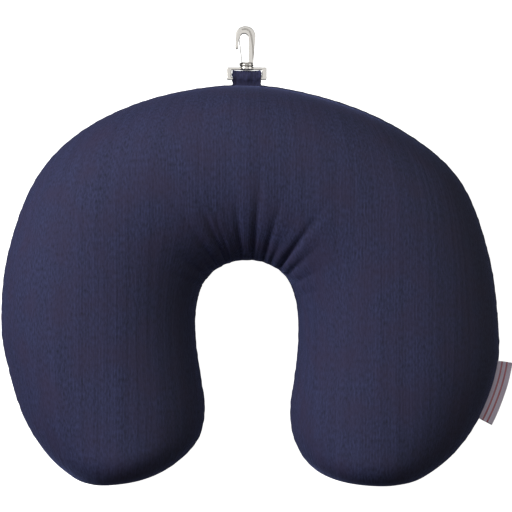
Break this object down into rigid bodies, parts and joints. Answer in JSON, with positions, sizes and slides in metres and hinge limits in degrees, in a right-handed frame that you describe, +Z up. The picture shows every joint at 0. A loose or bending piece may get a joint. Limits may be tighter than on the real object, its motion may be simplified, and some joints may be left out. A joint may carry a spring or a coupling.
{
  "type": "u shaped neck pillow",
  "caption": "U-shaped neck pillow: sewn knit cover over a lined bead fill, with a folded side label and a back tab that holds a strap ring and a swivelling snap hook.",
  "frame": {"origin": "middle of the whole part's box, on the surface that the pillow lies on", "axes": "+X from the pillow's plain side to the side with the label, +Y from the open ends of the legs to the hook at the back of the neck, +Z up from the surface"},
  "size_m": [0.3372, 0.304, 0.1],
  "materials": {
    "knit_cover": "deep navy stretch knit with a fine vertical grain, slight sheen",
    "lining": "plain white cotton",
    "bead_fill": "loose expanded polystyrene microbeads",
    "thread": "dark navy polyester thread",
    "label_satin": "lilac grey woven satin",
    "bright_nickel": "bright nickel plate, polished",
    "spring_steel": "bright spring steel"
  },
  "bodies": {
    "pillow": {"upper_cover_panel": "knit_cover", "lower_cover_panel": "knit_cover", "upper_lining_panel": "lining", "lower_lining_panel": "lining", "bead_fill": "bead_fill", "seam_thread": "thread", "hanging_tab": "knit_cover", "side_label": "label_satin"},
    "ring": {"strap_ring": "bright_nickel"},
    "hook": {"hook_body": "bright_nickel", "swivel_stud": "bright_nickel", "gate_rivet": "spring_steel"},
    "gate": {"spring_gate": "spring_steel"}
  },
  "joints": [
    {"name": "ring_tilt", "type": "hinge", "parent": "pillow", "child": "ring", "pos_m": [-0.00378, 0.11731, 0.046], "axis": [1, 0, 0], "range_deg": [-75, 75]},
    {"name": "hook_swivel", "type": "hinge", "parent": "ring", "child": "hook", "pos_m": [-0.00378, 0.12551, 0.046], "axis": [0, 1, 0], "continuous": true},
    {"name": "gate_flex", "type": "hinge", "parent": "hook", "child": "gate", "pos_m": [-0.00698, 0.12681, 0.046], "axis": [0, 0, -1], "range_deg": [0, 16], "stiffness_Nm_per_rad": 0.05, "springref_deg": -2.86}
  ]
}
